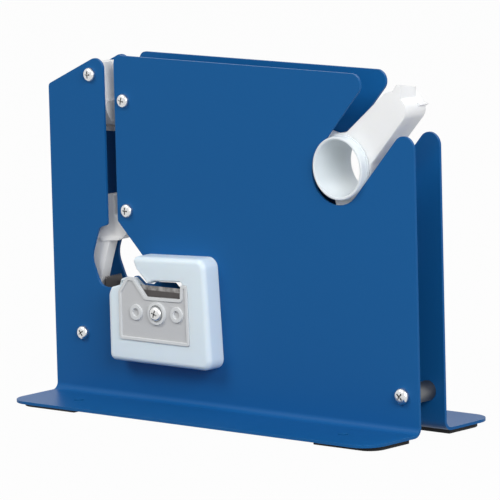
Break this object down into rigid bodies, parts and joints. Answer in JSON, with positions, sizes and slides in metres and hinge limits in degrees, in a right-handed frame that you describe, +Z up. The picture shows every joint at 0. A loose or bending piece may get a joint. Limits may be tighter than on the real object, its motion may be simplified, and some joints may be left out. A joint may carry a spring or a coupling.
{
  "type": "bag neck tape sealer",
  "caption": "Counter-top bag neck tape sealer: bent sheet side plates with foot flanges, a neck slot with sprung levers, a slanted slot for a lift-out tape hub, and a film trimmer.",
  "frame": {"origin": "middle of the base, on the surface the rubber pads stand on", "axes": "+X along the side plates from the neck slot towards the tape hub, +Y from the trimmer side to the back plate, +Z up"},
  "size_m": [0.2, 0.0818, 0.1494],
  "materials": {
    "blue_steel": "blue powder coat, satin",
    "zinc": "bright zinc plate",
    "blade_steel": "ground tool steel, slightly brown",
    "spring_steel": "bare spring wire",
    "white_plastic": "white moulded plastic",
    "milky_plastic": "milky polyethylene",
    "grey_plastic": "warm grey moulded plastic",
    "light_grey_plastic": "light grey moulded plastic",
    "rubber": "black rubber"
  },
  "bodies": {
    "frame": {"front_plate": "blue_steel", "back_plate": "blue_steel", "front_screws": "zinc", "back_screws": "zinc", "spacer_slot_left": "zinc", "spacer_slot_right": "zinc", "spacer_centre": "zinc", "spacer_foot_left": "zinc", "spacer_foot_right": "zinc", "pad_front_left": "rubber", "pad_front_right": "rubber", "pad_back_left": "rubber", "pad_back_right": "rubber", "trimmer_housing": "milky_plastic", "blade_holder": "light_grey_plastic", "trimmer_blade": "blade_steel", "trimmer_screw": "zinc", "trimmer_nut": "zinc", "upper_spring": "spring_steel", "lower_spring": "spring_steel", "cutter_block": "grey_plastic", "tape_cutter": "blade_steel", "cutter_screws": "zinc"},
    "hub_axle": {"hub_tube": "white_plastic", "hub_clip": "spring_steel"},
    "hub_wheel": {"hub_wheel": "white_plastic"},
    "upper_lever": {"upper_lever": "light_grey_plastic", "lever_sole": "grey_plastic"},
    "lower_lever": {"lower_lever": "grey_plastic"},
    "roller_upper": {"roller_upper": "white_plastic"},
    "roller_lower": {"roller_lower": "white_plastic"}
  },
  "joints": [
    {"name": "hub_lift", "type": "slide", "parent": "frame", "child": "hub_axle", "axis": [0.6626, 0, 0.749], "range_m": [-0.003, 0.042]},
    {"name": "hub_spin", "type": "hinge", "parent": "hub_axle", "child": "hub_wheel", "pos_m": [0.06105, 0, 0.11012], "axis": [0, 1, 0], "continuous": true},
    {"name": "upper_lever_swing", "type": "hinge", "parent": "frame", "child": "upper_lever", "pos_m": [-0.0758, 0, 0.1404], "axis": [0, 1, 0], "range_deg": [0, 20], "stiffness_Nm_per_rad": 0.05, "springref_deg": -28.65, "deforming": ["upper_spring"]},
    {"name": "lower_lever_swing", "type": "hinge", "parent": "frame", "child": "lower_lever", "pos_m": [-0.0838, 0, 0.029], "axis": [0, -1, 0], "range_deg": [0, 10], "stiffness_Nm_per_rad": 0.08, "springref_deg": -28.65, "deforming": ["lower_spring"]},
    {"name": "roller_upper_spin", "type": "hinge", "parent": "frame", "child": "roller_upper", "pos_m": [-0.0571, 0, 0.1304], "axis": [0, 1, 0], "continuous": true},
    {"name": "roller_lower_spin", "type": "hinge", "parent": "frame", "child": "roller_lower", "pos_m": [-0.0566, 0, 0.0836], "axis": [0, 1, 0], "continuous": true}
  ]
}
